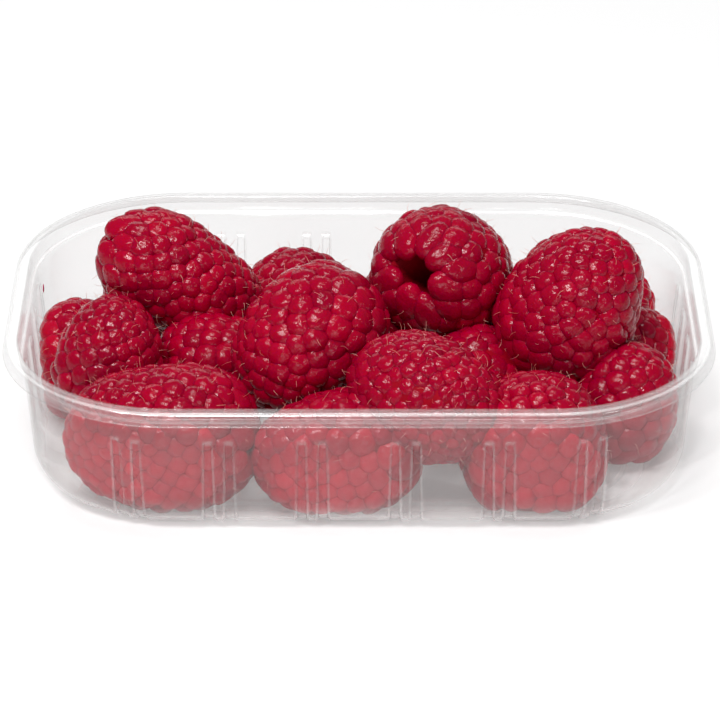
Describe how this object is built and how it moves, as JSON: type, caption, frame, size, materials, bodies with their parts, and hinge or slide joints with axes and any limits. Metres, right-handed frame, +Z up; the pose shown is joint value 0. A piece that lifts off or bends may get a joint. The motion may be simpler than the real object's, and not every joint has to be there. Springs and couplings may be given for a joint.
{
  "type": "punnet of raspberries",
  "caption": "Shallow clear plastic punnet with rounded corners and a folded rim, heaped with fresh red raspberries, without a lid",
  "frame": {"origin": "middle of the punnet's footprint, on the surface it stands on", "axes": "+X along the long side, +Y towards the back, +Z up"},
  "size_m": [0.142, 0.102, 0.0441],
  "materials": {
    "clear_plastic": "thin clear thermoformed plastic, glossy, faintly grey",
    "raspberry": "moist crimson fruit, satin with small highlights, darker in the gaps"
  },
  "bodies": {
    "root": {"clear_tray": "clear_plastic", "raspberry_heap": "raspberry"}
  },
  "joints": []
}
